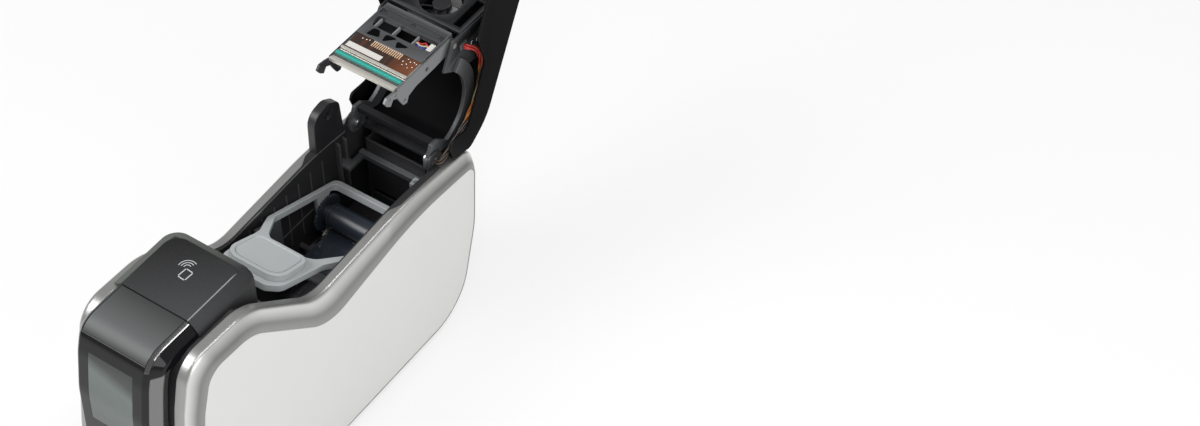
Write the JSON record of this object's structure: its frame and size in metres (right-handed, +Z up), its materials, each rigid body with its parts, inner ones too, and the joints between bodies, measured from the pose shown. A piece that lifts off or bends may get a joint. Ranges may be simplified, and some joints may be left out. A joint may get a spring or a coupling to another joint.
{
  "type": "id card printer",
  "caption": "Desktop id card printer with an open hinged lid that carries the print head, a ribbon cartridge that lifts out of the bay, and a geared card drive.",
  "frame": {"origin": "on the table, below the middle of the side covers, half way between the two outer side panels", "axes": "+X to the printer's side with the drive gears, to the right as its front is faced; the front faces -Y; +Z up"},
  "size_m": [0.132, 0.528, 0.3857],
  "materials": {
    "satin_silver": "satin silver paint",
    "light_grey": "light warm grey plastic",
    "charcoal": "matte charcoal plastic",
    "frame_black": "black painted steel",
    "dark_grey": "fine-textured dark grey plastic",
    "gloss_black": "gloss black plastic",
    "lid_black": "black satin plastic",
    "smoked": "smoked window",
    "screen": "dark display",
    "rubber_black": "black rubber",
    "roller_rust": "soft cleaning roller",
    "steel": "bare steel",
    "zinc": "zinc-plated steel",
    "gear_white": "natural acetal",
    "brass_gear": "brass pinion",
    "board_green": "circuit board",
    "heatsink": "extruded aluminium",
    "board_brown": "brown flexible circuit",
    "ceramic_teal": "glazed ceramic strip",
    "cart_grey": "light grey-blue plastic",
    "film_dark": "dark glossy ribbon",
    "wires": "coloured wire insulation"
  },
  "bodies": {
    "body": {"base_tray": "charcoal", "side_cover_left": "satin_silver", "side_cover_right": "satin_silver", "side_panel_left": "light_grey", "side_panel_right": "light_grey", "chassis_wall_left": "frame_black", "chassis_wall_right": "frame_black", "hinge_plates": "zinc", "rear_cover": "charcoal", "input_hopper": "charcoal", "front_frame": "dark_grey", "front_panel": "gloss_black", "display_lens": "smoked", "display_module": "screen", "front_deck": "charcoal", "hood": "dark_grey", "output_bin": "charcoal", "roller_cover": "charcoal", "transport_floor": "charcoal", "card_guides": "dark_grey", "hopper_bar": "zinc", "feed_motor": "steel", "ribbon_gearbox": "charcoal", "lid_switch": "light_grey", "main_board": "board_green", "power_supply": "heatsink", "power_inlet": "charcoal", "data_ports": "steel", "rubber_feet": "rubber_black", "case_screws": "steel"},
    "lid": {"lid_shell": "lid_black", "lid_frame": "zinc", "lid_arm_left": "zinc", "lid_arm_right": "zinc", "hinge_pins": "steel", "fan_housing": "charcoal", "lid_harness": "wires"},
    "print_head": {"head_carriage": "zinc", "head_heatsink": "heatsink", "head_bars": "steel", "thermal_strip": "ceramic_teal", "head_board": "board_brown"},
    "cartridge": {"cartridge_frame": "cart_grey", "cartridge_handle": "cart_grey", "cartridge_shroud": "charcoal", "ribbon_film": "film_dark"},
    "supply": {"supply_spool": "film_dark"},
    "takeup": {"takeup_spool": "charcoal"},
    "fan": {"fan_rotor": "charcoal"},
    "platen": {"platen_roller": "rubber_black"},
    "feed": {"feed_roller": "rubber_black"},
    "cleaner": {"cleaning_roller": "roller_rust"},
    "idler": {"idler_gear": "gear_white"},
    "pinion": {"motor_pinion": "brass_gear"},
    "ribbon_drive": {"ribbon_gear": "gear_white"},
    "bin_door": {"output_door": "dark_grey"},
    "hopper_flap": {"hopper_door": "dark_grey"},
    "button": {"power_button": "dark_grey"}
  },
  "joints": [
    {"name": "lid_hinge", "type": "hinge", "parent": "body", "child": "lid", "pos_m": [0, 0.165, 0.2], "axis": [1, 0, 0], "range_deg": [0, 116.6]},
    {"name": "head_pivot", "type": "hinge", "parent": "lid", "child": "print_head", "pos_m": [0, 0.211, 0.303], "axis": [1, 0, 0], "range_deg": [0, 5], "stiffness_Nm_per_rad": 3, "springref_deg": -3.44},
    {"name": "fan_spin", "type": "hinge", "parent": "lid", "child": "fan", "pos_m": [0, 0.247, 0.297], "axis": [0, 0, 1], "continuous": true},
    {"name": "cartridge_lift", "type": "slide", "parent": "body", "child": "cartridge", "axis": [0, 0, -1], "range_m": [-0.12, 0]},
    {"name": "supply_spin", "type": "hinge", "parent": "cartridge", "child": "supply", "pos_m": [0, 0.036, 0.1301], "axis": [1, 0, 0], "continuous": true},
    {"name": "takeup_spin", "type": "hinge", "parent": "cartridge", "child": "takeup", "pos_m": [0, 0.11, 0.1301], "axis": [1, 0, 0], "continuous": true},
    {"name": "ribbon_drive_spin", "type": "hinge", "parent": "body", "child": "ribbon_drive", "pos_m": [0, 0.11, 0.1021], "axis": [1, 0, 0], "continuous": true},
    {"name": "platen_spin", "type": "hinge", "parent": "body", "child": "platen", "pos_m": [0, 0.079, 0.1086], "axis": [1, 0, 0], "continuous": true},
    {"name": "feed_spin", "type": "hinge", "parent": "body", "child": "feed", "pos_m": [0, 0.05, 0.1086], "axis": [1, 0, 0], "continuous": true},
    {"name": "idler_spin", "type": "hinge", "parent": "body", "child": "idler", "pos_m": [0, 0.0645, 0.09632], "axis": [1, 0, 0], "continuous": true},
    {"name": "pinion_spin", "type": "hinge", "parent": "body", "child": "pinion", "pos_m": [0, 0.0645, 0.08132], "axis": [1, 0, 0], "continuous": true},
    {"name": "cleaner_spin", "type": "hinge", "parent": "body", "child": "cleaner", "pos_m": [0, 0.004, 0.1096], "axis": [1, 0, 0], "continuous": true},
    {"name": "bin_door_hinge", "type": "hinge", "parent": "body", "child": "bin_door", "pos_m": [0, -0.1908, 0.034], "axis": [1, 0, 0], "range_deg": [0, 60]},
    {"name": "hopper_flap_hinge", "type": "hinge", "parent": "body", "child": "hopper_flap", "pos_m": [0, 0.1966, 0.107], "axis": [-1, 0, 0], "range_deg": [0, 75]},
    {"name": "button_press", "type": "slide", "parent": "body", "child": "button", "axis": [0, 1, 0], "range_m": [0, 0.0015], "stiffness_N_per_m": 400, "springref_m": -0.001}
  ],
  "couplings": [
    {"joint": "feed_spin", "follows": "platen_spin", "ratio": 1},
    {"joint": "idler_spin", "follows": "platen_spin", "ratio": -1.1111},
    {"joint": "pinion_spin", "follows": "platen_spin", "ratio": 1.6667},
    {"joint": "ribbon_drive_spin", "follows": "takeup_spin", "ratio": -1.8}
  ]
}
